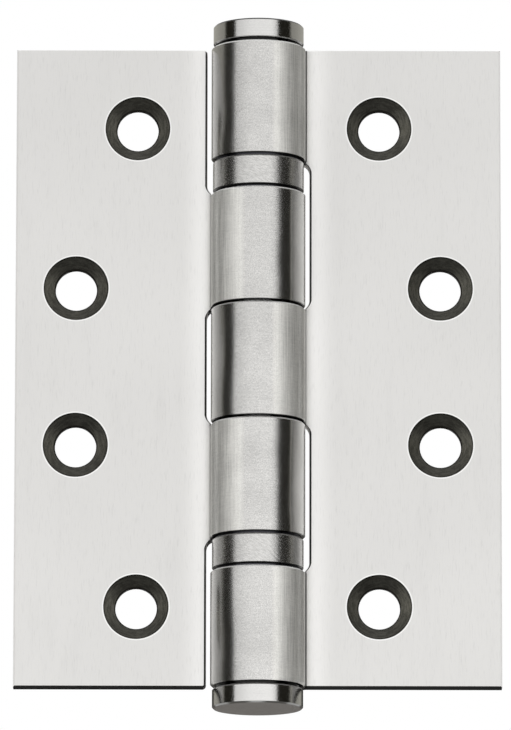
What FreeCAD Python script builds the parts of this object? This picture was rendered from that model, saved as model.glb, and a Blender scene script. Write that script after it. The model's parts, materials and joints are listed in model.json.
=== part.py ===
import FreeCAD, Part
import math
import os

# A twin ball bearing butt hinge lying open flat, in millimetres.
# The pin stands along Z and the origin is on its axis at half the hinge's height.
# The leaves spread along X, and the faces with the countersinks look towards -Y.

# The hinge as it is sold
hinge_height = 101.6
open_width = 76.2
leaf_thickness = 3.0
closed_gap = 1.5            # left between the two leaves when the hinge is shut

# The rolled eyes
bore_diameter = 8.8
swage_radius = 1.5          # inside radius of the reverse bend behind each leaf
seam_gap = 0.15             # between the rolled end and the face it closes on
knuckle_chamfer = 0.25
knuckle_count = 5           # odd, so that the frame leaf holds both ends of the pin
plain_gap = 0.3             # between two knuckles with no bearing
bearing_space = 5.4         # between two knuckles with a bearing

# The cut edges of the leaves
notch_clearance = 0.65      # beside the other leaf's knuckles
notch_radius = 1.6
facing_clearance = 0.15     # round what turns between two knuckles, on the radius
free_corner_radius = 0.4    # on the face, at the corners beside the barrel with no knuckle
edge_break = 0.2

# The screw holes, in a zigzag on each leaf
screw_hole_diameter = 6.5
countersink_diameter = 10.2
countersink_angle = 90.0
inner_hole_reach = 19.0     # from the pin's axis
outer_hole_reach = 28.6
inner_hole_spacing = 76.3   # along the pin
outer_hole_spacing = 25.0

# The pin and the caps that close its two ends
running_clearance = 0.05    # between the pin and each bore, on the radius
pin_chamfer = 0.4
cap_diameter = 14.2
cap_height = 3.1
cap_chamfer = 0.25
neck_diameter = 13.4
neck_height = 0.45
spigot_length = 6.0
spigot_chamfer = 0.4

# The two ball bearings
ball_diameter = 1.5
ball_count = 12
groove_depth = 0.3          # how far each race's groove is cut into its face
ball_clearance = 0.05
sleeve_diameter = 14.3
sleeve_wall = 0.4
sleeve_gap = 0.3            # between the sleeve and the knuckles above and below it
sleeve_chamfer = 0.25
race_clearance = 0.1        # round the pin, and inside the sleeve where a race turns
cage_thickness = 0.7

# Sizes that follow from those above
half_height = hinge_height / 2
leaf_reach = open_width / 2
leaf_front = closed_gap / 2
leaf_back = leaf_front + leaf_thickness
bore_radius = bore_diameter / 2
barrel_radius = bore_radius + leaf_thickness
pin_radius = bore_radius - running_clearance
notch_reach = barrel_radius + notch_clearance
sleeve_radius = sleeve_diameter / 2
sleeve_bore = sleeve_radius - sleeve_wall
race_bore = pin_radius + race_clearance
ball_radius = ball_diameter / 2
pitch_radius = (pin_radius + sleeve_bore) / 2
groove_radius = ball_radius + ball_clearance
race_gap = 2 * (groove_radius - groove_depth)
race_thickness = (bearing_space - race_gap) / 2

# The knuckles stand on each other from the bottom up, with a bearing above the lowest
# and below the highest. Odd ones belong to the frame leaf and even ones to the door leaf.
spaces = [plain_gap] * (knuckle_count - 1)
spaces[0] = spaces[-1] = bearing_space
knuckle_height = (hinge_height - sum(spaces)) / knuckle_count
knuckle_ends = []
level = -half_height
for space in spaces + [0.0]:
    knuckle_ends.append((level, level + knuckle_height))
    level += knuckle_height + space
frame_knuckles = knuckle_ends[0::2]
door_knuckles = knuckle_ends[1::2]

# Past everything, for cuts that go right through
beyond = 5.0


def vec(x, y, z=0.0):
    return FreeCAD.Vector(x, y, z)


def polar(radius, angle, centre=(0.0, 0.0)):
    """The point at a radius and an angle in radians about a centre in the XY plane."""
    return vec(centre[0] + radius * math.cos(angle), centre[1] + radius * math.sin(angle))


def line(start, end):
    return Part.LineSegment(start, end).toShape()


def arc(radius, start, end, centre=(0.0, 0.0)):
    """An arc in the XY plane from one angle to another, in radians."""
    middle = (start + end) / 2
    points = [polar(radius, angle, centre) for angle in (start, middle, end)]
    return Part.Arc(*points).toShape()


def revolved(points, angle=360.0):
    """Turns an outline of (radius, height) points about the pin's axis."""
    outline = [vec(radius, 0, height) for radius, height in points]
    face = Part.Face(Part.makePolygon(outline + outline[:1]))
    return face.revolve(vec(0, 0), vec(0, 0, 1), angle)


def rounded_wire(corners, y):
    """A closed wire across Y. Each corner is (x, z, radius), and 0 stays sharp."""
    points = [vec(x, y, z) for x, z, radius in corners]
    corner_cut = 1 - math.sqrt(0.5)
    ends = []
    arcs = []
    for index, (x, z, radius) in enumerate(corners):
        corner = points[index]
        if radius == 0:
            ends.append((corner, corner))
            arcs.append(None)
            continue
        back = (points[index - 1] - corner).normalize()
        ahead = (points[(index + 1) % len(points)] - corner).normalize()
        start, finish = corner + back * radius, corner + ahead * radius
        middle = corner + (back + ahead) * radius * corner_cut
        ends.append((start, finish))
        arcs.append(Part.Arc(start, middle, finish).toShape())
    edges = []
    for index in range(len(points)):
        edges.append(line(ends[index - 1][1], ends[index][0]))
        if arcs[index]:
            edges.append(arcs[index])
    return Part.Wire(edges)


def strip_section():
    """The leaf's section across the pin: a flat, a reverse bend and a rolled eye.

    The strip leaves the flat through the reverse bend, passes behind the pin, comes round
    its front and ends on the flat's front face, where the seam stays.
    """
    bend_distance = barrel_radius + swage_radius
    join = math.asin((leaf_back + swage_radius) / bend_distance)
    centre = (bend_distance * math.cos(join), leaf_back + swage_radius)
    tip = math.asin((leaf_front - seam_gap) / barrel_radius) + 2 * math.pi
    into_eye = join - math.pi
    along_flat = -math.pi / 2

    outer_bend = swage_radius + leaf_thickness
    flat = [
        vec(centre[0], leaf_back),
        vec(leaf_reach, leaf_back),
        vec(leaf_reach, leaf_front),
        vec(centre[0], leaf_front),
    ]
    edges = [line(start, end) for start, end in zip(flat, flat[1:])]
    edges.append(arc(outer_bend, along_flat, into_eye, centre))
    edges.append(arc(bore_radius, join, tip))
    edges.append(line(polar(bore_radius, tip), polar(barrel_radius, tip)))
    edges.append(arc(barrel_radius, tip, join))
    edges.append(arc(swage_radius, into_eye, along_flat, centre))
    return Part.Face(Part.Wire(Part.__sortEdges__(edges))), join, tip


def notch_spans(knuckles):
    """The stretches of a leaf's inner edge with no knuckle, from the bottom up."""
    lows = [-half_height] + [high for low, high in knuckles]
    highs = [low for low, high in knuckles] + [half_height]
    return [(low, high) for low, high in zip(lows, highs) if high - low > plain_gap / 2]


def leaf_outline(knuckles, inset, y):
    """The leaf's outline from the front, drawn in by an inset, as a wire across Y.

    The knuckles' tabs reach past the barrel, and the notches between them stop beside it.
    """
    past_barrel = -barrel_radius - beyond
    outer, top = leaf_reach - inset, half_height - inset
    notch = notch_reach + inset
    free_radius = free_corner_radius + edge_break - inset
    inner_radius = notch_radius + inset
    corners = [(outer, top, 0), (outer, -top, 0)]
    for low, high in notch_spans(knuckles):
        if low > -half_height:
            corners.append((past_barrel, low - inset, 0))
            corners.append((notch, low - inset, inner_radius))
        else:
            corners.append((notch, -top, free_radius))
        if high < half_height:
            corners.append((notch, high + inset, inner_radius))
            corners.append((past_barrel, high + inset, 0))
        else:
            corners.append((notch, top, free_radius))
    if knuckles[0] == knuckle_ends[0]:
        corners.insert(2, (past_barrel, -top, 0))
    if knuckles[-1] == knuckle_ends[-1]:
        corners.append((past_barrel, top, 0))
    return rounded_wire(corners, y)


def flat_edge_break(knuckles, face, inward):
    """The cutter that breaks the edges round one face of a leaf's flat."""
    depth = face + inward * edge_break
    kept = Part.makeLoft([
        leaf_outline(knuckles, edge_break, face),
        leaf_outline(knuckles, 0.0, depth),
    ], True, True)
    width = leaf_reach - barrel_radius
    corner = vec(barrel_radius, min(face, depth), -half_height)
    return Part.makeBox(width, edge_break, hinge_height, corner).cut(kept)


def countersunk_hole(x, z):
    """A through hole with its countersink in the front face."""
    hole_radius = screw_hole_diameter / 2
    sink_radius = countersink_diameter / 2
    slope = math.tan(math.radians(countersink_angle / 2))
    depth = (sink_radius - hole_radius) / slope
    away = vec(0, 1, 0)
    drill = Part.makeCylinder(hole_radius, leaf_back + beyond, vec(x, 0, z), away)
    mouth = sink_radius + leaf_front * slope
    cone = Part.makeCone(mouth, hole_radius, leaf_front + depth, vec(x, 0, z), away)
    return drill.fuse(cone)


def knuckle_end_break(level, inward, join, tip):
    """The cutter that breaks the outer edge of a rolled eye at one of its ends."""
    past = knuckle_chamfer / 3
    low = level + inward * (knuckle_chamfer + past)
    high = level - inward * past
    outline = [
        (barrel_radius + past, low),
        (barrel_radius + past, high),
        (barrel_radius - knuckle_chamfer - past, high),
    ]
    ring = revolved(outline, math.degrees(tip - join))
    ring.rotate(vec(0, 0), vec(0, 0, 1), math.degrees(join))
    return ring


def facing_cut(low, high):
    """The cutter that faces the ends of two knuckles, for what turns between them."""
    return Part.makeCylinder(barrel_radius + facing_clearance, high - low, vec(0, 0, low))


def leaf(knuckles, side):
    """A leaf whose flat lies towards +X for side 1 and towards -X for side -1."""
    section, join, tip = strip_section()
    section.translate(vec(0, 0, -half_height))
    strip = section.extrude(vec(0, 0, hinge_height))
    outline = Part.Face(leaf_outline(knuckles, 0.0, -barrel_radius - beyond))
    body = strip.common(outline.extrude(vec(0, 2 * (barrel_radius + beyond), 0)))

    cutters = [flat_edge_break(knuckles, leaf_front, 1), flat_edge_break(knuckles, leaf_back, -1)]
    cutters += [facing_cut(low, high) for low, high in notch_spans(knuckles)]
    for reach, spacing in (
        (inner_hole_reach, inner_hole_spacing),
        (outer_hole_reach, outer_hole_spacing),
    ):
        cutters += [countersunk_hole(reach, z) for z in (-spacing / 2, spacing / 2)]
    for low, high in knuckles:
        cutters.append(knuckle_end_break(low, 1, join, tip))
        cutters.append(knuckle_end_break(high, -1, join, tip))
    for cutter in cutters:
        body = body.cut(cutter)
    if side < 0:
        body = body.mirror(vec(0, 0), vec(1, 0))
    return body.removeSplitter()


def hinge_pin():
    half_length = half_height - spigot_length
    tip_radius = pin_radius - pin_chamfer
    return revolved([
        (0, -half_length),
        (tip_radius, -half_length),
        (pin_radius, -half_length + pin_chamfer),
        (pin_radius, half_length - pin_chamfer),
        (tip_radius, half_length),
        (0, half_length),
    ])


def cap(side):
    """A turned cap: a disc on a short neck, with a spigot pressed into the end bore."""
    neck_radius = neck_diameter / 2
    cap_radius = cap_diameter / 2
    disc_low = half_height + neck_height
    disc_high = disc_low + cap_height
    outline = [
        (0, half_height - spigot_length),
        (bore_radius - spigot_chamfer, half_height - spigot_length),
        (bore_radius, half_height - spigot_length + spigot_chamfer),
        (bore_radius, half_height),
        (neck_radius, half_height),
        (neck_radius, disc_low),
        (cap_radius - cap_chamfer, disc_low),
        (cap_radius, disc_low + cap_chamfer),
        (cap_radius, disc_high - cap_chamfer),
        (cap_radius - cap_chamfer, disc_high),
        (0, disc_high),
    ]
    return revolved([(radius, side * height) for radius, height in outline])


def race(low, high, outer_radius, middle):
    """One of a bearing's two races, with the groove that its balls run in."""
    blank = Part.makeCylinder(outer_radius, high - low, vec(0, 0, low))
    bore = Part.makeCylinder(race_bore, high - low + 2 * beyond, vec(0, 0, low - beyond))
    groove = Part.makeTorus(pitch_radius, groove_radius, vec(0, 0, middle))
    return blank.cut([bore, groove])


def sleeve(low, high):
    """The thin ring round a bearing, pressed over the race on the frame leaf's side."""
    return revolved([
        (sleeve_bore, low),
        (sleeve_radius - sleeve_chamfer, low),
        (sleeve_radius, low + sleeve_chamfer),
        (sleeve_radius, high - sleeve_chamfer),
        (sleeve_radius - sleeve_chamfer, high),
        (sleeve_bore, high),
    ])


def ball_places(middle):
    """The centres of a bearing's balls, evenly spaced round the pin."""
    step = 2 * math.pi / ball_count
    return [polar(pitch_radius, index * step) + vec(0, 0, middle) for index in range(ball_count)]


def cage(middle):
    """The ring that keeps the balls apart, with a pocket for each."""
    low = middle - cage_thickness / 2
    outer = Part.makeCylinder(sleeve_bore - race_clearance, cage_thickness, vec(0, 0, low))
    cutters = [Part.makeCylinder(race_bore, cage_thickness, vec(0, 0, low))]
    for place in ball_places(middle):
        foot = place - vec(0, 0, cage_thickness)
        cutters.append(Part.makeCylinder(groove_radius, 2 * cage_thickness, foot))
    return outer.cut(cutters)


def bearing(name, low, high, frame_above):
    """A bearing between two knuckles, as node names and solids."""
    middle = (low + high) / 2
    turning_radius = sleeve_bore - race_clearance
    upper_radius, lower_radius = turning_radius, sleeve_bore
    if frame_above:
        upper_radius, lower_radius = sleeve_bore, turning_radius
    pieces = {
        name + "_upper_race": race(high - race_thickness, high, upper_radius, middle),
        name + "_lower_race": race(low, low + race_thickness, lower_radius, middle),
        name + "_sleeve": sleeve(low + sleeve_gap, high - sleeve_gap),
        name + "_cage": cage(middle),
    }
    for number, place in enumerate(ball_places(middle), start=1):
        pieces[f"{name}_ball_{number:02d}"] = Part.makeSphere(ball_radius, place)
    return pieces


def build():
    """Every piece of the hinge by its node name."""
    pieces = {
        "frame_leaf": leaf(frame_knuckles, 1),
        "door_leaf": leaf(door_knuckles, -1),
        "hinge_pin": hinge_pin(),
        "top_cap": cap(1),
        "bottom_cap": cap(-1),
    }
    lower_space = (knuckle_ends[0][1], knuckle_ends[1][0])
    upper_space = (knuckle_ends[-2][1], knuckle_ends[-1][0])
    pieces.update(bearing("lower_bearing", *lower_space, frame_above=False))
    pieces.update(bearing("upper_bearing", *upper_space, frame_above=True))
    return pieces


os.makedirs("parts", exist_ok=True)
for node, piece in build().items():
    solids = piece.Solids
    shape = solids[0] if len(solids) == 1 else piece
    shape.exportStep(f"parts/{node}.step")
    print(node, len(solids), shape.isValid(), round(shape.Volume, 2))
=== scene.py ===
"""Dresses a ball bearing butt hinge in its steels and stands it in a light tent.

Every length in the materials is in millimetres and every object is in metres. The origin is on
the pin's axis at half the hinge's height, +Z runs up the pin and the countersinks face -Y.
"""

import json
import logging
import math
from dataclasses import dataclass, field
from enum import Enum

import bmesh
import bpy
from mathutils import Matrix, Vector

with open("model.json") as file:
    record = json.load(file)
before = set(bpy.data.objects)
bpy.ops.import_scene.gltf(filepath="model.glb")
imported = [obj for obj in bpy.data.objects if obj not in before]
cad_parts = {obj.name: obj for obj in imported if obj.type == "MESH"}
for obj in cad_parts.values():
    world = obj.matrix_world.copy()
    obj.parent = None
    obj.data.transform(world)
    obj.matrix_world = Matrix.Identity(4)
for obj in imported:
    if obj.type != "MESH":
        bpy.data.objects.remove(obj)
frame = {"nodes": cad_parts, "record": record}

LOG = logging.getLogger("hinge")
MM_PER_METRE = 1000.0
IMAGE_HEIGHT = 730
MERGE_DISTANCE = 0.0001
FEWEST_STEPS = 2

Colour = tuple[float, float, float]
Span = tuple[float, float]


class Side(Enum):
    """The side of the pin that a leaf's flat lies on."""

    FRAME = 1.0
    DOOR = -1.0


@dataclass(frozen=True)
class HingeSizes:
    """The sizes, in millimetres, that the finishes follow."""

    barrel_radius: float = 7.4
    leaf_front: float = 0.75
    leaf_back: float = 3.75
    leaf_reach: float = 38.1
    face_slack: float = 0.02
    inner_hole: tuple[float, float] = (19.0, 38.15)
    outer_hole: tuple[float, float] = (28.6, 12.5)
    notch_reach: float = 8.05
    notch_corner: float = 1.6
    # Width of the painted shade line along the notches, and its width at their ends.
    edge_line: float = 0.33
    edge_line_at_ends: float = 0.08
    edge_break: float = 0.2
    knuckle_chamfer: float = 0.25
    foot_level: float = -50.8
    # Painted shade: between these levels the caps' necks are darkened as the shade in the gaps next
    # to the knuckles.
    neck_shade_span: Span = (-51.25, 51.25)
    neck_fade: float = 0.03


@dataclass(frozen=True)
class MaskSpans:
    """The spans over which the masks change, in millimetres.

    Those of the sink and the hole are counted from the hole's axis. Barrel and cap rim are
    distances from the pin's axis. The others beside the barrel are counted from that axis
    towards the leaf's flat, the painted shade line along the notch from the notch's edge, and the
    chamfer's painted shadow from the start of the chamfer. A face is a depth along Y and a level
    is along Z. The two facings are the Z of the way that the surface faces, from 0 to 1.
    """

    sink: Span = (5.08, 5.12)
    sink_edge: Span = (4.82, 5.02)
    sink_rim: Span = (5.25, 5.35)
    hole_wall: Span = (3.33, 3.47)
    barrel: Span = (7.43, 7.48)
    closing_side: Span = (1.6, 5.0)
    closing_face: Span = (0.0, 1.5)
    open_side: Span = (-7.4, -4.9)
    flatter: Span = (1.0, 9.5)
    steeper: Span = (6.1, 7.7)
    beside_barrel_painted_light: Span = (7.7, 12.6)
    notch_line: Span = (0.28, 0.38)
    notch_face: Span = (0.8, 0.9)
    seam: Span = (7.6, 7.72)
    seam_face: Span = (1.0, 2.0)
    seam_level: Span = (28.0, 33.0)
    wave_face: Span = (-2.0, 2.0)
    chamfer_shadow: Span = (0.08, 0.16)
    foot_level: Span = (-50.2, -49.8)
    cap_rim: Span = (6.6, 6.8)
    crown_level: Span = (54.0, 54.1)
    end_facing: Span = (0.9, 0.96)
    slant_facing: Span = (0.3, 0.5)


SIZES = HingeSizes()
SPANS = MaskSpans()
NOISE_SPAN: Span = (0.3, 0.7)


class Graph:
    """A shader node tree that is being built."""

    def __init__(self, tree: bpy.types.NodeTree) -> None:
        """Takes the tree to build in.

        Args:
            tree: The node tree of a material, a world or a group.
        """
        self.tree = tree

    def feed(self, socket: bpy.types.NodeSocket, value: object) -> None:
        """Links a socket to another, or sets its value.

        Args:
            socket: The input to feed.
            value: An output socket, or a plain number, colour or vector.
        """
        if isinstance(value, bpy.types.NodeSocket):
            self.tree.links.new(value, socket)
        else:
            socket.default_value = value

    def add(self, kind: str, inputs: dict | None = None, **settings: object) -> bpy.types.Node:
        """Adds a node.

        Args:
            kind: The node's Blender type.
            inputs: Values or sockets for its inputs, by name or number.
            settings: The node's own options.

        Returns:
            The new node.
        """
        node = self.tree.nodes.new(kind)
        for name, value in settings.items():
            setattr(node, name, value)
        for key, value in (inputs or {}).items():
            self.feed(node.inputs[key], value)
        return node

    def math(self, operation: str, *values: object) -> bpy.types.NodeSocket:
        """Returns the result of a Math node on one to three values."""
        return self.add("ShaderNodeMath", dict(enumerate(values)), operation=operation).outputs[0]

    def total(self, *values: object) -> bpy.types.NodeSocket:
        """Returns the sum of several values."""
        result = values[0]
        for value in values[1:]:
            result = self.math("ADD", result, value)
        return result

    def product(self, *values: object) -> bpy.types.NodeSocket:
        """Returns the product of several values."""
        result = values[0]
        for value in values[1:]:
            result = self.math("MULTIPLY", result, value)
        return result

    def ramp(
        self, value: object, low: float, high: float, start: float = 0.0, end: float = 1.0
    ) -> bpy.types.NodeSocket:
        """Maps a value smoothly from one span to another.

        Args:
            value: The value to map.
            low: Where the result is start.
            high: Where the result is end.
            start: The result at and below low.
            end: The result at and above high.

        Returns:
            The mapped value's socket.
        """
        inputs = {"Value": value, 1: low, 2: high, 3: start, 4: end}
        node = self.add("ShaderNodeMapRange", inputs, interpolation_type="SMOOTHSTEP")
        return node.outputs["Result"]

    def blend(self, factor: object, first: object, second: object) -> bpy.types.NodeSocket:
        """Mixes two colours.

        Args:
            factor: 0 for the first colour and 1 for the second.
            first: A colour or a colour socket.
            second: A colour or a colour socket.

        Returns:
            The mixed colour's socket.
        """
        colours = [c if isinstance(c, bpy.types.NodeSocket) else (*c, 1.0) for c in (first, second)]
        # A Mix node keeps its two colours in inputs 6 and 7, and their mix in output 2.
        inputs = {0: factor, 6: colours[0], 7: colours[1]}
        return self.add("ShaderNodeMix", inputs, data_type="RGBA").outputs[2]

    def shade(self, colour: object, factor: object) -> bpy.types.NodeSocket:
        """Returns a colour made darker by a factor."""
        grey = self.vector(factor, factor, factor)
        return self.add("ShaderNodeVectorMath", {0: colour, 1: grey}, operation="MULTIPLY").outputs[0]

    def noise(self, vector: object, detail: float = 2.0, rough: float = 0.5) -> bpy.types.NodeSocket:
        """Returns a noise from 0 to 1, with features about one unit of the vector in size."""
        inputs = {"Vector": vector, "Scale": 1.0, "Detail": detail, "Roughness": rough}
        return self.add("ShaderNodeTexNoise", inputs).outputs["Fac"]

    def vector(self, x: object, y: object, z: object) -> bpy.types.NodeSocket:
        """Returns a vector made from three values."""
        return self.add("ShaderNodeCombineXYZ", {0: x, 1: y, 2: z}).outputs[0]

    def facing(self) -> list[bpy.types.NodeSocket]:
        """Returns the x, y and z of the way that the piece's surface faces."""
        way = self.add("ShaderNodeTexCoord").outputs["Normal"]
        return list(self.add("ShaderNodeSeparateXYZ", {0: way}).outputs)

    def place(self) -> list[bpy.types.NodeSocket]:
        """Returns the x, y and z, in millimetres, of the point on the piece."""
        point = self.add("ShaderNodeTexCoord").outputs["Object"]
        scale = self.add("ShaderNodeVectorMath", {0: point, "Scale": MM_PER_METRE}, operation="SCALE")
        return list(self.add("ShaderNodeSeparateXYZ", {0: scale.outputs[0]}).outputs)


class Effects:
    """The shader groups that the finishes share, each built once."""

    def __init__(self) -> None:
        """Builds every group."""
        self.brush = self._brush()
        self.rounds = self._rounds()
        self.grain = self._grain()
        self.drift = self._drift()
        self.holes = self._holes()
        self.barrel = self._barrel()
        self.ends = self._ends()

    @staticmethod
    def _start(
        name: str, inputs: dict[str, float], outputs: tuple[str, ...]
    ) -> tuple[bpy.types.NodeTree, Graph, bpy.types.NodeOutputs, bpy.types.NodeInputs]:
        """Starts a shader group.

        Args:
            name: The group's name.
            inputs: Its inputs' names and default values.
            outputs: Its outputs' names.

        Returns:
            The group, a graph to build it with, its input sockets and its output sockets.
        """
        tree = bpy.data.node_groups.new(name, "ShaderNodeTree")
        for label, value in inputs.items():
            socket = tree.interface.new_socket(label, in_out="INPUT", socket_type="NodeSocketFloat")
            socket.default_value = value
        for label in outputs:
            tree.interface.new_socket(label, in_out="OUTPUT", socket_type="NodeSocketFloat")
        graph = Graph(tree)
        given = graph.add("NodeGroupInput").outputs
        put_out = graph.add("NodeGroupOutput").inputs
        return tree, graph, given, put_out

    def _brush(self) -> bpy.types.NodeTree:
        """Builds straight brush lines along the pin."""
        inputs = {"Lines per mm": 5.0, "Runs per mm": 0.03}
        tree, graph, given, out = self._start("Brush lines", inputs, ("Lines",))
        x, y, z = graph.place()
        across = graph.product(x, given["Lines per mm"])
        along = graph.product(z, given["Runs per mm"])
        fine = graph.noise(graph.vector(across, y, along), detail=3.0, rough=0.65)
        line_span = (0.5, 0.78)
        graph.feed(out["Lines"], graph.ramp(fine, *line_span))
        return tree

    def _rounds(self) -> bpy.types.NodeTree:
        """Builds marks on a round piece, counted round the pin and along or away from it.

        Slant is how far the marks shift along the pin for each millimetre of their way round it.
        """
        inputs = {"Round per mm": 0.2, "Along per mm": 5.0, "Slant": 0.0}
        tree, graph, given, out = self._start("Round lines", inputs, ("Lines",))
        x, y, z = graph.place()
        angle = graph.math("ARCTAN2", x, graph.product(y, -1.0))
        way_round = graph.product(angle, SIZES.barrel_radius)
        round_marks = graph.product(way_round, given["Round per mm"])
        radius = graph.math("SQRT", graph.total(graph.product(x, x), graph.product(y, y)))
        level = graph.total(z, graph.product(way_round, given["Slant"]))
        along = graph.product(level, given["Along per mm"])
        away = graph.product(radius, given["Along per mm"])
        marks = graph.noise(graph.vector(round_marks, along, away), detail=3.0, rough=0.6)
        graph.feed(out["Lines"], graph.ramp(marks, *NOISE_SPAN))
        return tree

    def _grain(self) -> bpy.types.NodeTree:
        """Builds an even grain."""
        tree, graph, given, out = self._start("Satin grain", {"Grains per mm": 3.0}, ("Grain",))
        x, y, z = graph.place()
        point = [graph.product(axis, given["Grains per mm"]) for axis in (x, y, z)]
        graph.feed(out["Grain"], graph.noise(graph.vector(*point), detail=3.0, rough=0.7))
        return tree

    def _drift(self) -> bpy.types.NodeTree:
        """Builds a slow change, for the tone of the steel or for a wave of its surface."""
        tree, graph, given, out = self._start("Tone drift", {"Size in mm": 25.0}, ("Tone",))
        x, y, z = graph.place()
        point = [graph.math("DIVIDE", axis, given["Size in mm"]) for axis in (x, y, z)]
        slow = graph.noise(graph.vector(*point), detail=1.0)
        graph.feed(out["Tone"], graph.ramp(slow, *NOISE_SPAN))
        return tree

    def _holes(self) -> bpy.types.NodeTree:
        """Builds the masks of the screw holes: cones, walls behind them for painted shade, and rims
        for a painted highlight.
        """
        tree, graph, given, out = self._start("Screw holes", {}, ("Cone", "Wall", "Rim", "Reach"))
        x, y, z = graph.place()
        reaches = []
        for across, along in (SIZES.inner_hole, SIZES.outer_hole):
            side = graph.math("SUBTRACT", graph.math("ABSOLUTE", x), across)
            up = graph.math("SUBTRACT", graph.math("ABSOLUTE", z), along)
            square = graph.total(graph.product(side, side), graph.product(up, up))
            reaches.append(graph.math("SQRT", square))
        reach = graph.math("MINIMUM", *reaches)
        before_back = graph.math("LESS_THAN", y, SIZES.leaf_back - SIZES.face_slack)
        inside = graph.ramp(reach, *SPANS.sink, 1.0, 0.0)
        graph.feed(out["Cone"], graph.product(inside, before_back))
        wall = graph.ramp(reach, *SPANS.hole_wall, 1.0, 0.0)
        graph.feed(out["Wall"], graph.product(wall, before_back))
        rim = graph.ramp(reach, *SPANS.sink_rim, 1.0, 0.0)
        at_front = graph.math("LESS_THAN", y, SIZES.leaf_front + SIZES.face_slack)
        outside = graph.math("SUBTRACT", 1.0, inside)
        graph.feed(out["Rim"], graph.product(rim, at_front, outside))
        graph.feed(out["Reach"], reach)
        return tree

    def _barrel(self) -> bpy.types.NodeTree:
        """Builds the masks of the rolled eyes and beside them, some marking painted light or shade.
        """
        inputs = {"Side": 1.0, "Span middle": 20.89, "Span half": 11.87, "Notch sign": 1.0}
        outputs = (
            "Barrel", "Closing side", "Open side", "Flatter", "Beside barrel", "Notch shade line",
            "Seam shade line", "Chamfer",
        )
        tree, graph, given, out = self._start("Rolled eye", inputs, outputs)
        x, y, z = graph.place()
        radius = graph.math("SQRT", graph.total(graph.product(x, x), graph.product(y, y)))
        barrel = graph.ramp(radius, *SPANS.barrel, 1.0, 0.0)
        graph.feed(out["Barrel"], barrel)
        to_side = graph.product(x, given["Side"])
        closing = graph.ramp(to_side, *SPANS.closing_side)
        front = graph.ramp(y, *SPANS.closing_face, 1.0, 0.0)
        graph.feed(out["Closing side"], graph.product(barrel, closing, front))
        opening = graph.ramp(to_side, *SPANS.open_side, 1.0, 0.0)
        graph.feed(out["Open side"], graph.product(barrel, opening))
        flatter = graph.ramp(to_side, *SPANS.flatter)
        steeper_share = 0.75
        steeper = graph.product(graph.ramp(to_side, *SPANS.steeper), steeper_share)
        graph.feed(out["Flatter"], graph.total(flatter, graph.product(steeper, barrel)))
        # The mask of the painted light on the flat next to the barrel.
        graph.feed(out["Beside barrel"], graph.ramp(to_side, *SPANS.beside_barrel_painted_light, 1.0, 0.0))

        level = graph.math("ABSOLUTE", z)
        off_middle = graph.math("ABSOLUTE", graph.math("SUBTRACT", level, given["Span middle"]))
        inside = graph.math("SUBTRACT", given["Span half"], off_middle)
        into_notch = graph.product(inside, given["Notch sign"])
        # The notch shade line: a painted dark line along the notch's edge on the front, thinner
        # towards the notch's ends.
        corner = SIZES.notch_corner
        rise = graph.math("MAXIMUM", graph.math("SUBTRACT", corner, into_notch), 0.0)
        run = graph.math("MAXIMUM", graph.math("SUBTRACT", to_side, SIZES.notch_reach - corner), 0.0)
        square = graph.total(graph.product(rise, rise), graph.product(run, run))
        gap = graph.math("SUBTRACT", graph.math("SQRT", square), corner)
        thinning = (SIZES.edge_line - SIZES.edge_line_at_ends) / corner
        gap = graph.total(gap, graph.product(rise, thinning))
        line = graph.ramp(gap, *SPANS.notch_line, 1.0, 0.0)
        on_flat = graph.math("SUBTRACT", 1.0, barrel)
        at_front = graph.ramp(y, *SPANS.notch_face, 1.0, 0.0)
        graph.feed(out["Notch shade line"], graph.product(line, on_flat, at_front))

        # The seam shade line: painted shade in the crevice where the rolled eye meets the flat,
        # weaker at the middle knuckles.
        seam = graph.ramp(to_side, *SPANS.seam, 1.0, 0.0)
        near_front = graph.ramp(y, *SPANS.seam_face, 1.0, 0.0)
        knuckle = graph.math("LESS_THAN", into_notch, 0.0)
        share_at_middle = 0.4
        fading = graph.ramp(level, *SPANS.seam_level, share_at_middle, 1.0)
        graph.feed(out["Seam shade line"], graph.product(knuckle, seam, on_flat, fading, near_front))

        above_foot = graph.math("SUBTRACT", z, SIZES.foot_level)
        from_end = graph.math("MINIMUM", graph.product(into_notch, -1.0), above_foot)
        cut = graph.math("SUBTRACT", SIZES.knuckle_chamfer, from_end)
        graph.feed(out["Chamfer"], graph.product(graph.math("MAXIMUM", cut, 0.0), barrel))
        return tree

    def _ends(self) -> bpy.types.NodeTree:
        """Builds the masks of what faces along the pin, and of the slanted edges beside it."""
        outputs = ("End", "Underside", "Low slant", "High slant")
        tree, graph, _, out = self._start("End faces", {}, outputs)
        z = graph.facing()[2]
        steep = graph.math("ABSOLUTE", z)
        end_start, end_full = SPANS.end_facing
        slant_start, slant_full = SPANS.slant_facing
        graph.feed(out["End"], graph.ramp(steep, end_start, end_full))
        graph.feed(out["Underside"], graph.ramp(z, -end_full, -end_start, 1.0, 0.0))
        slanting = graph.ramp(z, -slant_full, -slant_start, 1.0, 0.0)
        graph.feed(out["Low slant"], graph.product(slanting, graph.ramp(z, -end_full, -end_start)))
        slanting = graph.ramp(z, slant_start, slant_full)
        not_end = graph.ramp(z, end_start, end_full, 1.0, 0.0)
        graph.feed(out["High slant"], graph.product(slanting, not_end))
        return tree


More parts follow.
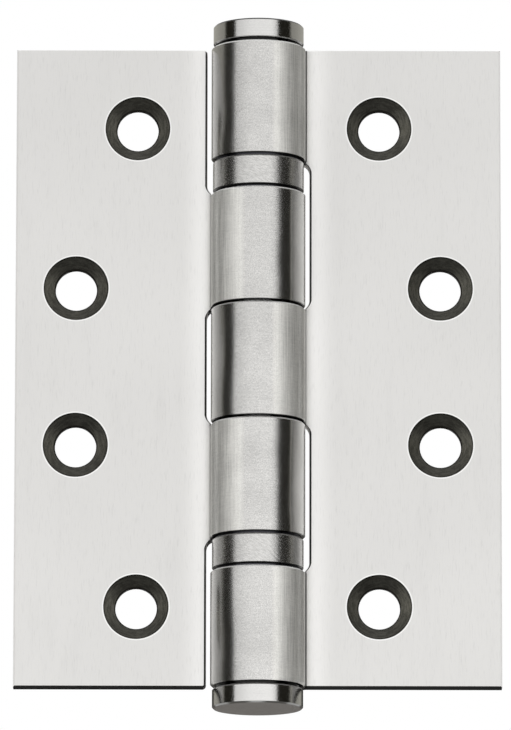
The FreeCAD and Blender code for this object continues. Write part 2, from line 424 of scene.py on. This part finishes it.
@dataclass(frozen=True)
class Finish:
    """A finish in steel or nylon, with marks that run round or along the piece.

    The depths are in millimetres. A tone is how much of the colour the marks or the grain take
    away. A shade is what is left of the colour where shade is painted: on the end faces, on the
    small edges that face down, between the levels of the neck's painted shade, at the rim of the
    end faces, and on the crown, which is the upper edge of the top cap. The slant roughness is
    that of the small edges that face up. Where it is 0 they are as rough as the rest, and where
    the two levels of the neck's painted shade are the same there is none.
    """

    name: str
    colour: Colour
    roughness: float
    metallic: float = 1.0
    roughness_change: float = 0.05
    marks_round: float = 0.2
    marks_along: float = 5.0
    marks_slant: float = 0.0
    marks_tone: float = 0.05
    marks_depth: float = 0.0
    grains: float = 3.0
    grain_tone: float = 0.0
    grain_depth: float = 0.0
    end_shade: float = 1.0
    slant_shade: float = 1.0
    slant_roughness: float = 0.0
    neck_shade_span: Span = (0.0, 0.0)
    neck_shade: float = 0.03
    rim_shade: float = 1.0
    crown_shade: float = 1.0

    def build(self, effects: Effects) -> bpy.types.Material:
        """Makes the material.

        Args:
            effects: The shared shader groups.

        Returns:
            The new material.
        """
        material, graph, shader = start_material(self.name)
        inputs = {
            "Round per mm": self.marks_round, "Along per mm": self.marks_along,
            "Slant": self.marks_slant,
        }
        marks = graph.add("ShaderNodeGroup", node_tree=effects.rounds)
        for label, value in inputs.items():
            marks.inputs[label].default_value = value
        grain = graph.add("ShaderNodeGroup", node_tree=effects.grain)
        grain.inputs["Grains per mm"].default_value = self.grains
        ends = graph.add("ShaderNodeGroup", node_tree=effects.ends).outputs
        steel = self._colour(graph, marks.outputs[0], grain.outputs[0], ends)
        graph.feed(shader.inputs["Base Color"], steel)
        low = self.roughness - self.roughness_change
        high = self.roughness + self.roughness_change
        rough = graph.ramp(grain.outputs[0], *NOISE_SPAN, low, high)
        if self.slant_roughness > 0.0:
            added = graph.product(ends["High slant"], self.slant_roughness - self.roughness)
            rough = graph.total(rough, added)
        graph.feed(shader.inputs["Roughness"], rough)
        shader.inputs["Metallic"].default_value = self.metallic
        height = graph.total(
            graph.product(marks.outputs[0], self.marks_depth),
            graph.product(grain.outputs[0], self.grain_depth),
        )
        graph.feed(shader.inputs["Normal"], bump(graph, height))
        return material

    def _colour(
        self, graph: Graph, marks: bpy.types.NodeSocket, grain: bpy.types.NodeSocket,
        ends: bpy.types.NodeOutputs,
    ) -> bpy.types.NodeSocket:
        """Builds the colour, with its marks and grain and the painted shade on the piece's edges and
        neck.

        Args:
            graph: The material's graph.
            marks: The marks of the tool.
            grain: The grain.
            ends: The masks of what faces along the pin and of the slanted edges beside it.

        Returns:
            The colour's socket.
        """
        worn = tuple(part * (1.0 - self.marks_tone) for part in self.colour)
        steel = graph.blend(marks, worn, self.colour)
        steel = graph.shade(steel, graph.ramp(grain, *NOISE_SPAN, 1.0 - self.grain_tone, 1.0))
        x, y, z = graph.place()
        # Painted shade: between the two levels the neck is darkened as the shade in the gap.
        low, high = self.neck_shade_span
        if high > low:
            above = graph.ramp(z, high, high + SIZES.neck_fade, self.neck_shade)
            below = graph.ramp(z, low - SIZES.neck_fade, low, 1.0, self.neck_shade)
            steel = graph.shade(steel, graph.math("MAXIMUM", above, below))
        square = graph.total(graph.product(x, x), graph.product(y, y))
        at_rim = graph.ramp(graph.math("SQRT", square), *SPANS.cap_rim)
        at_crown = graph.ramp(z, *SPANS.crown_level)
        # Painted shade: the end faces, the edges that face down, the rim of the end faces and the
        # crown are darkened.
        masks = (
            (ends["End"], self.end_shade),
            (ends["Low slant"], self.slant_shade),
            (graph.product(at_rim, ends["End"]), self.rim_shade),
            (graph.product(at_crown, ends["High slant"]), self.crown_shade),
        )
        for mask, shade in masks:
            steel = graph.shade(steel, graph.ramp(mask, 0.0, 1.0, 1.0, shade))
        return steel


@dataclass(frozen=True)
class LeafFinish:
    """The satin finish of a leaf: brushed flats, fine-scratched eyes and dark countersinks.

    Span is where, above and below half height, the leaf has a notch (sign 1) or else a knuckle
    (sign -1). Lines, scratches, streaks and grains are counts per millimetre, first across or
    round the pin and then along it, and the sink's rings first away from the hole. Sizes are in
    millimetres. A share is the part of a side's mask over which the side takes its painted light.

    A tone is how much of the colour a pattern takes away, and a shade is what is left of it
    where shade is painted. The colours beside the barrel, on the closing and open sides, on the
    rims of the holes and on the glints are painted light, and the colour of the bore walls is
    painted shade. Closing grain is how much of the grain's tone the closing side keeps. Sink tilt
    is the Z of the cone's facing at which its painted top and low shades are full. Depths and
    turns are heights of the bump in millimetres, and those of the edge and the chamfer are for
    each millimetre of their width.
    """

    name: str
    side: Side
    span: Span
    notch_sign: float
    colour: Colour = (0.80, 0.793, 0.778)
    flat_colour: Colour = (0.80, 0.793, 0.782)
    beside_barrel_painted_light: Colour = (0.975, 0.968, 0.957)
    closing_painted_light: Colour = (0.98, 0.972, 0.935)
    open_painted_light: Colour = (0.80, 0.793, 0.778)
    sink_colour: Colour = (0.38, 0.37, 0.32)
    bore_wall_shade_colour: Colour = (0.02, 0.019, 0.016)
    rim_highlight_colour: Colour = (0.98, 0.98, 0.97)
    glint_colour: Colour = (0.98, 0.98, 0.97)
    fine_lines: Span = (5.0, 0.55)
    broad_lines: Span = (0.4, 0.06)
    scratches: Span = (0.8, 5.5)
    streaks: Span = (4.0, 0.12)
    grains: float = 6.0
    drift_size: float = 30.0
    cloud_size: float = 5.0
    wave_size: float = 11.0
    closing_share: Span = (0.0, 0.3)
    open_share: Span = (0.05, 0.2)
    fine_tone: float = 0.08
    broad_tone: float = 0.03
    drift_tone: float = 0.03
    scratch_tone: float = 0.07
    grain_tone: float = 0.26
    cloud_tone: float = 0.05
    streak_tone: float = 0.2
    closing_grain: float = 0.3
    sink_rings: Span = (4.0, 0.9)
    sink_ring_tone: float = 0.6
    sink_tilt: float = 0.7
    sink_top_shade: float = 0.19
    sink_low_shade: float = 0.45
    sink_edge_shade: float = 0.35
    under_shade: float = 0.035
    cut_shade: float = 0.04
    corner_shade: float = 0.04
    gap_shade: float = 0.02
    line_shade: float = 0.02
    seam_shade: float = 0.2
    flat_roughness: float = 0.4
    eye_roughness: float = 0.2
    closing_roughness: float = 0.56
    sink_roughness: float = 0.5
    glint_roughness: float = 0.5
    grain_roughness: float = 0.04
    flat_grain_depth: float = 0.0008
    eye_grain_depth: float = 0.009
    streak_depth: float = 0.008
    flatter_depth: float = 1.5
    wave_depth: float = 0.16
    edge_turn: float = 1.2
    chamfer_turn: float = 1.4
    open_turn: float = 0.0

    def build(self, effects: Effects) -> bpy.types.Material:
        """Makes the material.

        Args:
            effects: The shared shader groups.

        Returns:
            The new material.
        """
        material, graph, shader = start_material(self.name)
        # With no specular layer, the dull undersides show only their painted dark colour.
        shader.inputs["Specular IOR Level"].default_value = 0.0
        grain = self._group(graph, effects.grain, {"Grains per mm": self.grains})[0]
        streak = self._marks(graph, effects, self.streaks)
        holes = self._group(graph, effects.holes, {})
        low, high = self.span
        measures = {
            "Side": self.side.value, "Notch sign": self.notch_sign,
            "Span middle": (low + high) / 2.0, "Span half": (high - low) / 2.0,
        }
        eye = self._group(graph, effects.barrel, measures)
        ends = self._group(graph, effects.ends, {})
        glint = graph.product(ends["High slant"], eye["Barrel"])
        # Painted shade: the cut undersides of the flat are made dull instead of metal, so their dark
        # colour holds at a glancing view.
        under = graph.product(ends["Underside"], graph.math("SUBTRACT", 1.0, eye["Barrel"]))
        graph.feed(shader.inputs["Metallic"], graph.math("SUBTRACT", 1.0, under))

        # Painted light: the flat is made brighter next to the barrel.
        steel = graph.blend(eye["Beside barrel"], self.flat_colour, self.beside_barrel_painted_light)
        steel = graph.blend(eye["Barrel"], steel, self.colour)
        # Painted light: the closing side of the eye is made brighter, and its colour a little warmer.
        closing = graph.ramp(eye["Closing side"], *self.closing_share)
        steel = graph.blend(closing, steel, self.closing_painted_light)
        # Painted light: the open side of the eye can be made brighter, as the door leaf's is.
        opening = graph.ramp(eye["Open side"], *self.open_share)
        steel = graph.blend(opening, steel, self.open_painted_light)
        steel = graph.shade(steel, self._tone(graph, effects, eye, grain, streak))
        steel = graph.shade(steel, self._edges(graph, eye, ends))
        steel = graph.blend(glint, steel, self.glint_colour)
        # Painted highlight: a bright ring round each countersink on the flat.
        steel = graph.blend(holes["Rim"], steel, self.rim_highlight_colour)
        steel = graph.blend(holes["Cone"], steel, self._sink(graph, holes, grain))
        # Painted shade: the walls of the holes behind the countersinks are near black.
        steel = graph.blend(holes["Wall"], steel, self.bore_wall_shade_colour)
        graph.feed(shader.inputs["Base Color"], steel)

        rough = graph.total(
            self.flat_roughness,
            graph.product(eye["Barrel"], self.eye_roughness - self.flat_roughness),
            graph.product(eye["Closing side"], self.closing_roughness - self.eye_roughness),
            graph.product(holes["Cone"], self.sink_roughness - self.flat_roughness),
            graph.product(glint, self.glint_roughness - self.eye_roughness),
            graph.product(grain, self.grain_roughness),
        )
        graph.feed(shader.inputs["Roughness"], rough)
        height = self._height(graph, effects, eye, ends, grain, streak)
        graph.feed(shader.inputs["Normal"], bump(graph, height))
        return material

    def _height(
        self, graph: Graph, effects: Effects, eye: bpy.types.NodeOutputs,
        ends: bpy.types.NodeOutputs, grain: bpy.types.NodeSocket, streak: bpy.types.NodeSocket,
    ) -> bpy.types.NodeSocket:
        """Builds the fine relief of the steel, of its edges and of the eyes' two sides.

        Args:
            graph: The material's graph.
            effects: The shared shader groups.
            eye: The masks of the rolled eyes.
            ends: The masks of what faces along the pin.
            grain: The steel's grain.
            streak: The forming streaks.

        Returns:
            The height's socket, in millimetres.
        """
        depth = graph.ramp(eye["Barrel"], 0.0, 1.0, self.flat_grain_depth, self.eye_grain_depth)
        wave = self._group(graph, effects.drift, {"Size in mm": self.wave_size})[0]
        x, y, _ = graph.place()
        away = graph.math("ABSOLUTE", x)
        front = graph.ramp(y, *SPANS.wave_face, 1.0, 0.0)
        outer_edge = graph.ramp(away, SIZES.leaf_reach - SIZES.edge_break, SIZES.leaf_reach)
        return graph.total(
            graph.product(grain, depth),
            graph.product(outer_edge, self.edge_turn * SIZES.edge_break),
            graph.product(eye["Chamfer"], ends["Low slant"], self.chamfer_turn),
            graph.product(streak, eye["Closing side"], self.streak_depth),
            graph.product(eye["Flatter"], self.flatter_depth),
            graph.product(eye["Open side"], -self.open_turn),
            graph.product(wave, eye["Barrel"], front, self.wave_depth),
        )

    def _tone(
        self, graph: Graph, effects: Effects, eye: bpy.types.NodeOutputs,
        grain: bpy.types.NodeSocket, streak: bpy.types.NodeSocket,
    ) -> bpy.types.NodeSocket:
        """Builds how the brush lines, scratches and grain darken the steel.

        Args:
            graph: The material's graph.
            effects: The shared shader groups.
            eye: The masks of the rolled eyes.
            grain: The steel's grain.
            streak: The forming streaks.

        Returns:
            The factor that the steel's colour is multiplied by.
        """
        fine = self._lines(graph, effects, self.fine_lines)
        broad = self._lines(graph, effects, self.broad_lines)
        scratch = self._marks(graph, effects, self.scratches)
        drift = self._group(graph, effects.drift, {"Size in mm": self.drift_size})[0]
        cloud = self._group(graph, effects.drift, {"Size in mm": self.cloud_size})[0]
        flat = graph.total(
            graph.product(fine, self.fine_tone),
            graph.product(broad, self.broad_tone),
            graph.product(drift, self.drift_tone),
        )
        kept = graph.ramp(eye["Closing side"], 0.0, 1.0, 1.0, self.closing_grain)
        rolled = graph.total(
            graph.product(scratch, self.scratch_tone),
            graph.product(graph.ramp(grain, *NOISE_SPAN), kept, self.grain_tone),
            graph.product(cloud, self.cloud_tone),
            graph.product(streak, eye["Closing side"], self.streak_tone),
        )
        # A Mix node keeps its two numbers in inputs 2 and 3, and their mix in output 0.
        lost = graph.add("ShaderNodeMix", {0: eye["Barrel"], 2: flat, 3: rolled}).outputs[0]
        return graph.math("SUBTRACT", 1.0, lost)

    def _sink(
        self, graph: Graph, holes: bpy.types.NodeOutputs, grain: bpy.types.NodeSocket
    ) -> bpy.types.NodeSocket:
        """Builds the colour of the countersinks, with rings, a painted shade darkest on the upper
        half, and a darker edge.

        Args:
            graph: The material's graph.
            holes: The masks of the screw holes.
            grain: The steel's grain.

        Returns:
            The colour's socket.
        """
        x, _, z = graph.place()
        rings_per_mm, runs_per_mm = self.sink_rings
        reach = graph.product(holes["Reach"], rings_per_mm)
        around = [graph.product(axis, runs_per_mm) for axis in (x, z)]
        ring_span = (0.35, 0.65)
        rings = graph.ramp(graph.noise(graph.vector(reach, *around)), *ring_span)
        marks = graph.product(graph.total(rings, graph.ramp(grain, *NOISE_SPAN)), 0.5)
        kept = 1.0 - self.sink_ring_tone
        sink = graph.blend(marks, tuple(part * kept for part in self.sink_colour), self.sink_colour)
        # Painted shade: the cone is darkened most where it faces down, and less where it faces up.
        tilt = graph.facing()[2]
        sink = graph.shade(sink, graph.ramp(tilt, -self.sink_tilt, 0.0, self.sink_top_shade, 1.0))
        sink = graph.shade(sink, graph.ramp(tilt, 0.0, self.sink_tilt, 1.0, self.sink_low_shade))
        edge = graph.ramp(holes["Reach"], *SPANS.sink_edge, 1.0, self.sink_edge_shade)
        return graph.shade(sink, edge)

    def _edges(
        self, graph: Graph, eye: bpy.types.NodeOutputs, ends: bpy.types.NodeOutputs
    ) -> bpy.types.NodeSocket:
        """Builds the painted shade on the cut edges, the knuckles' ends, the notches' edges and the
        seam.

        Args:
            graph: The material's graph.
            eye: The masks of the rolled eyes and of what lies beside them.
            ends: The masks of what faces along the pin.

        Returns:
            The factor that the steel's colour is multiplied by.
        """
        on_flat = graph.math("SUBTRACT", 1.0, eye["Barrel"])
        above_foot = graph.ramp(graph.place()[2], *SPANS.foot_level)
        shadow = graph.product(graph.ramp(eye["Chamfer"], *SPANS.chamfer_shadow), above_foot)
        at_foot = graph.math("SUBTRACT", 1.0, above_foot)
        # Painted shade: the undersides, the notch shade line, the knuckles' ends and lower chamfers
        # beside the gaps, the seam's crevice and the cut edges that face down are darkened.
        masks = (
            (graph.product(ends["Underside"], on_flat), self.under_shade),
            (eye["Notch shade line"], self.line_shade),
            (graph.product(shadow, ends["Low slant"], eye["Barrel"]), self.gap_shade),
            (eye["Seam shade line"], self.seam_shade),
            (graph.product(ends["End"], eye["Barrel"]), self.gap_shade),
            (graph.product(ends["Low slant"], on_flat, at_foot), self.cut_shade),
            (graph.product(ends["Low slant"], on_flat, above_foot), self.corner_shade),
        )
        return graph.product(*(graph.ramp(mask, 0.0, 1.0, 1.0, shade) for mask, shade in masks))

    def _lines(self, graph: Graph, effects: Effects, counts: Span) -> bpy.types.NodeSocket:
        """Returns brush lines with so many across and so many runs along, for each millimetre."""
        values = {"Lines per mm": counts[0], "Runs per mm": counts[1]}
        return self._group(graph, effects.brush, values)[0]

    def _marks(self, graph: Graph, effects: Effects, counts: Span) -> bpy.types.NodeSocket:
        """Returns marks with so many round the pin and so many along it, for each millimetre."""
        values = {"Round per mm": counts[0], "Along per mm": counts[1]}
        return self._group(graph, effects.rounds, values)[0]

    @staticmethod
    def _group(
        graph: Graph, tree: bpy.types.NodeTree, values: dict[str, float]
    ) -> bpy.types.NodeOutputs:
        """Places a shader group.

        Args:
            graph: The material's graph.
            tree: The group to place.
            values: The group's own input values in this material.

        Returns:
            The group's outputs.
        """
        node = graph.add("ShaderNodeGroup", node_tree=tree)
        for label, value in values.items():
            node.inputs[label].default_value = value
        return node.outputs


def start_material(name: str) -> tuple[bpy.types.Material, Graph, bpy.types.Node]:
    """Starts a material with its shader linked to its output.

    Args:
        name: The material's name.

    Returns:
        The material, a graph to build it with and its Principled shader.
    """
    material = bpy.data.materials.new(name)
    material.use_nodes = True
    material.node_tree.nodes.clear()
    graph = Graph(material.node_tree)
    shader = graph.add("ShaderNodeBsdfPrincipled")
    graph.add("ShaderNodeOutputMaterial", {"Surface": shader.outputs[0]})
    return material, graph, shader


def bump(graph: Graph, height: bpy.types.NodeSocket) -> bpy.types.NodeSocket:
    """Returns the normal for a height in millimetres."""
    inputs = {"Height": height, "Strength": 1.0, "Distance": 1.0 / MM_PER_METRE}
    return graph.add("ShaderNodeBump", inputs).outputs["Normal"]


@dataclass
class Dressing:
    """Puts each finish on the solids that have it."""

    effects: Effects
    round_finishes: dict[str, Finish] = field(default_factory=lambda: {
        # The caps take painted shade on their necks, their lower edges, the rim of their end faces
        # and the top cap's upper edge.
        "turned_steel": Finish(
            "Turned steel", (0.80, 0.795, 0.785), 0.12, marks_round=0.02, marks_along=6.0,
            marks_tone=0.05, marks_depth=0.0004, grains=5.0, grain_tone=0.08, grain_depth=0.01,
            slant_shade=0.45, slant_roughness=0.5, neck_shade_span=SIZES.neck_shade_span, rim_shade=0.4,
            crown_shade=0.1,
        ),
        # The sleeves take painted shade on their end faces and on their edges that face down, beside
        # the gaps.
        "sleeve_steel": Finish(
            "Sleeve steel", (0.80, 0.793, 0.778), 0.24, marks_round=1.3, marks_along=4.5,
            marks_slant=0.4, marks_tone=0.24, marks_depth=0.007, grains=6.0, grain_tone=0.14,
            grain_depth=0.007,
            end_shade=0.03, slant_shade=0.05, slant_roughness=0.6,
        ),
        "pin_steel": Finish("Ground pin steel", (0.66, 0.66, 0.65), 0.22, marks_tone=0.08),
        # Painted shade: the races are near black, as the shade seen through the gaps beside the
        # sleeves.
        "race_steel": Finish("Race steel in painted shade", (0.07, 0.07, 0.08), 0.3, marks_tone=0.2),
        "ball_steel": Finish(
            "Polished ball steel", (0.72, 0.72, 0.72), 0.06, roughness_change=0.02, marks_tone=0.03
        ),
        "cage_nylon": Finish(
            "Cage nylon", (0.72, 0.68, 0.55), 0.5, metallic=0.0, marks_tone=0.06,
            grain_depth=0.004,
        ),
    })
    leaf_finishes: dict[str, LeafFinish] = field(default_factory=lambda: {
        "frame_leaf": LeafFinish(
            "Satin steel of the frame leaf", Side.FRAME, (9.02, 32.76), notch_sign=1.0,
            corner_shade=1.0,
        ),
        "door_leaf": LeafFinish(
            "Satin steel of the door leaf", Side.DOOR, (9.32, 27.36), notch_sign=-1.0,
            # Painted light brightens the door leaf's open side.
            open_painted_light=(0.92, 0.912, 0.888), open_turn=0.5,
        ),
    })

    def dress(self) -> None:
        """Gives every solid of the frame its finish."""
        slots = {part["node"]: part["material_slot"] for part in frame["record"]["subparts"]}
        made = {slot: finish.build(self.effects) for slot, finish in self.round_finishes.items()}
        for node, solid in frame["nodes"].items():
            if node in self.leaf_finishes:
                material = self.leaf_finishes[node].build(self.effects)
            else:
                material = made[slots[node]]
            solid.data.materials.clear()
            solid.data.materials.append(material)
            LOG.info("%s: %s", node, material.name)


@dataclass(frozen=True)
class Card:
    """A card of the light tent: a patch of a sphere round the hinge.

    Azimuth is 0 in front of the countersinks and grows towards +X. Both ends are in degrees.
    Glow is the card's brightness. Fade is the share of it at the two ends of the azimuth, and
    lean is how much it grows per metre along Z. Radius is in metres, and a face of the card spans
    about a step, in degrees.
    """

    name: str
    azimuth: tuple[float, float]
    elevation: tuple[float, float]
    glow: Colour
    fade: tuple[float, float] = (1.0, 1.0)
    lean: float = 0.0
    radius: float = 1.1
    step: float = 4.0

    def build(self) -> bpy.types.Object:
        """Makes the card.

        Returns:
            The card's object, which cameras don't see.
        """
        low_azimuth, high_azimuth = map(math.radians, self.azimuth)
        low, high = map(math.radians, self.elevation)
        step = math.radians(self.step)
        start = Vector((math.sin(low_azimuth), -math.cos(low_azimuth), 0.0)) * math.cos(low)
        start.z = math.sin(low)
        mesh = bmesh.new()
        corner = mesh.verts.new(start * self.radius)
        upward = (-math.cos(low_azimuth), -math.sin(low_azimuth), 0.0)
        bmesh.ops.spin(
            mesh, geom=[corner], cent=(0, 0, 0), axis=upward, angle=high - low,
            steps=max(FEWEST_STEPS, round((high - low) / step)),
        )
        bmesh.ops.spin(
            mesh, geom=mesh.verts[:] + mesh.edges[:], cent=(0, 0, 0), axis=(0, 0, 1),
            angle=high_azimuth - low_azimuth,
            steps=max(FEWEST_STEPS, round((high_azimuth - low_azimuth) / step)),
        )
        bmesh.ops.remove_doubles(mesh, verts=mesh.verts, dist=MERGE_DISTANCE)
        card = make_stage(self.name, mesh, self._glowing())
        card.visible_camera = False
        return card

    def _glowing(self) -> bpy.types.Material:
        """Makes the card's own light."""
        material = bpy.data.materials.new(self.name)
        material.use_nodes = True
        material.node_tree.nodes.clear()
        graph = Graph(material.node_tree)
        x, y, z = graph.place()
        azimuth = graph.math("ARCTAN2", x, graph.product(y, -1.0))
        ends = [math.radians(angle) for angle in self.azimuth]
        share = graph.ramp(azimuth, *ends, *self.fade)
        rise = graph.math("MULTIPLY_ADD", z, self.lean / MM_PER_METRE, 1.0)
        strength = graph.product(share, rise)
        light = graph.add("ShaderNodeEmission", {"Color": (*self.glow, 1.0), "Strength": strength})
        graph.add("ShaderNodeOutputMaterial", {"Surface": light.outputs[0]})
        return material


def make_stage(
    name: str, mesh: bmesh.types.BMesh, material: bpy.types.Material
) -> bpy.types.Object:
    """Makes an object of the studio from a mesh.

    Args:
        name: The object's name.
        mesh: Its mesh, which is freed.
        material: Its material.

    Returns:
        The new object.
    """
    data = bpy.data.meshes.new(name)
    mesh.to_mesh(data)
    mesh.free()
    data.materials.append(material)
    thing = bpy.data.objects.new(name, data)
    bpy.context.scene.collection.objects.link(thing)
    LOG.info("studio: %s", name)
    return thing


LIGHT = (1.15, 1.147, 1.137)
PLAIN = (1.0, 1.0, 0.99)
FLAG = (0.014, 0.013, 0.01)
GREY = (0.46, 0.45, 0.405)
DIM = (0.17, 0.16, 0.15)
BELT = (0.05, 0.048, 0.042)
FILL = (0.8, 0.8, 0.79)
TABLE = (0.22, 0.215, 0.20)


@dataclass
class Studio:
    """The light tent, the floor, the white surround and the camera.

    The lengths are in metres, and the camera's elevation and roll are in degrees.
    """

    cards: tuple[Card, ...] = (
        Card("left_light", (-61, -10), (-12, 60), LIGHT, (0.74, 0.97), -0.5),
        Card("right_light", (-10, 30), (-12, 60), LIGHT, (0.97, 1.0), -0.5),
        Card("edge_light", (30, 49.5), (-12, 60), LIGHT, (1.0, 0.82), -0.5),
        Card("low_light", (-61, 49.5), (-40, -12), PLAIN),
        Card("left_flag", (-95, -61), (-50, 60), FLAG),
        Card("right_flag", (49.5, 90), (-50, 60), FLAG),
        Card("right_flag_tab", (41.5, 49.5), (9.3, 12.3), FLAG, radius=1.05),
        Card("left_screen", (-146, -95), (4, 26), GREY, (0.84, 0.6)),
        Card("right_screen", (90, 146), (4, 26), GREY, (0.6, 0.84)),
        Card("left_far_screen", (-180, -146), (9.5, 26), GREY, (1.0, 0.84)),
        Card("right_far_screen", (146, 180), (9.5, 26), GREY, (0.84, 1.0)),
        Card("left_belt", (-146, -95), (-5, 4), BELT),
        Card("right_belt", (90, 146), (-5, 4), BELT),
        Card("left_far_belt", (-180, -146), (-5, 9.5), BELT),
        Card("right_far_belt", (146, 180), (-5, 9.5), BELT),
        Card("left_foot_screen", (-180, -150), (-22, -5), DIM),
        Card("right_foot_screen", (150, 180), (-22, -5), DIM),
        Card("left_side_fill", (-150, -95), (-22, -5), FILL),
        Card("right_side_fill", (90, 150), (-22, -5), FILL),
        Card("left_fill", (-180, -95), (26, 60), FILL),
        Card("right_fill", (90, 180), (26, 60), FILL),
        Card("left_low_fill", (-180, -95), (-50, -22), FILL),
        Card("right_low_fill", (90, 180), (-50, -22), FILL),
        Card("ceiling", (-180, 180), (60, 90), PLAIN),
        Card("table_light", (-61, 49.5), (-90, -40), PLAIN),
        Card("left_table", (-180, -61), (-90, -50), TABLE),
        Card("right_table", (49.5, 180), (-90, -50), TABLE),
    )
    floor_height: float = -1.3
    floor_radius: float = 7.0
    floor_segments: int = 96
    floor_colour: Colour = (0.8, 0.8, 0.8)
    floor_roughness: float = 0.9
    white: Colour = (1.0, 1.0, 1.0)
    surround_glow: float = 0.5
    aim: tuple[float, float, float] = (-0.000407, 0.00075, 0.00026)
    elevation: float = -10.8
    distance: float = 1.4
    pixels_per_mm: float = 6.378
    roll: float = 0.1
    sensor_width: float = 36.0
    clip: Span = (0.1, 30.0)

    def build(self) -> None:
        """Makes everything in the studio."""
        for card in self.cards:
            card.build()
        self._floor()
        self._surround()
        self._camera()

    def _floor(self) -> None:
        """Makes the plain pale floor, which the camera sees as white."""
        mesh = bmesh.new()
        bmesh.ops.create_circle(
            mesh, cap_ends=True, segments=self.floor_segments, radius=self.floor_radius
        )
        bmesh.ops.translate(mesh, verts=mesh.verts, vec=(0, 0, self.floor_height))
        material, graph, shader = start_material("Pale floor")
        shader.inputs["Base Color"].default_value = (*self.floor_colour, 1.0)
        shader.inputs["Roughness"].default_value = self.floor_roughness
        shader.inputs["Emission Color"].default_value = (*self.white, 1.0)
        graph.feed(shader.inputs["Emission Strength"], self._seen(graph))
        make_stage("floor", mesh, material)

    def _surround(self) -> None:
        """Makes the white surround, which lights other rays only softly."""
        world = bpy.data.worlds.new("Studio surround")
        bpy.context.scene.world = world
        world.use_nodes = True
        world.node_tree.nodes.clear()
        graph = Graph(world.node_tree)
        strength = graph.ramp(self._seen(graph), 0.0, 1.0, self.surround_glow, 1.0)
        inputs = {"Color": (*self.white, 1.0), "Strength": strength}
        back = graph.add("ShaderNodeBackground", inputs)
        graph.add("ShaderNodeOutputWorld", {"Surface": back.outputs[0]})

    @staticmethod
    def _seen(graph: Graph) -> bpy.types.NodeSocket:
        """Returns 1 for the rays that see the white background, straight, in metal or in glass."""
        path = graph.add("ShaderNodeLightPath").outputs
        seen = graph.math("MAXIMUM", path["Is Camera Ray"], path["Is Glossy Ray"])
        return graph.math("MAXIMUM", seen, path["Is Transmission Ray"])

    def _camera(self) -> None:
        """Makes the camera, which looks up at the hinge from below its foot."""
        data = bpy.data.cameras.new("camera")
        data.sensor_width = self.sensor_width
        reach = self.distance * MM_PER_METRE
        data.lens = self.pixels_per_mm * data.sensor_width * reach / IMAGE_HEIGHT
        data.clip_start, data.clip_end = self.clip
        camera = bpy.data.objects.new("camera", data)
        angle = math.radians(self.elevation)
        back = Vector((0.0, -math.cos(angle), math.sin(angle)))
        camera.location = Vector(self.aim) + back * self.distance
        turn = (-back).to_track_quat("-Z", "Y").to_matrix().to_4x4()
        camera.rotation_euler = turn.to_euler()
        camera.rotation_euler.rotate_axis("Z", math.radians(self.roll))
        bpy.context.scene.collection.objects.link(camera)
        bpy.context.scene.camera = camera


def main() -> None:
    """Dresses the hinge and builds its studio, in order."""
    logging.basicConfig(level=logging.INFO, format="%(name)s: %(message)s")
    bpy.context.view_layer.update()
    Dressing(Effects()).dress()
    Studio().build()
    bpy.context.scene.view_settings.view_transform = "Standard"


if __name__ == "__main__":
    main()
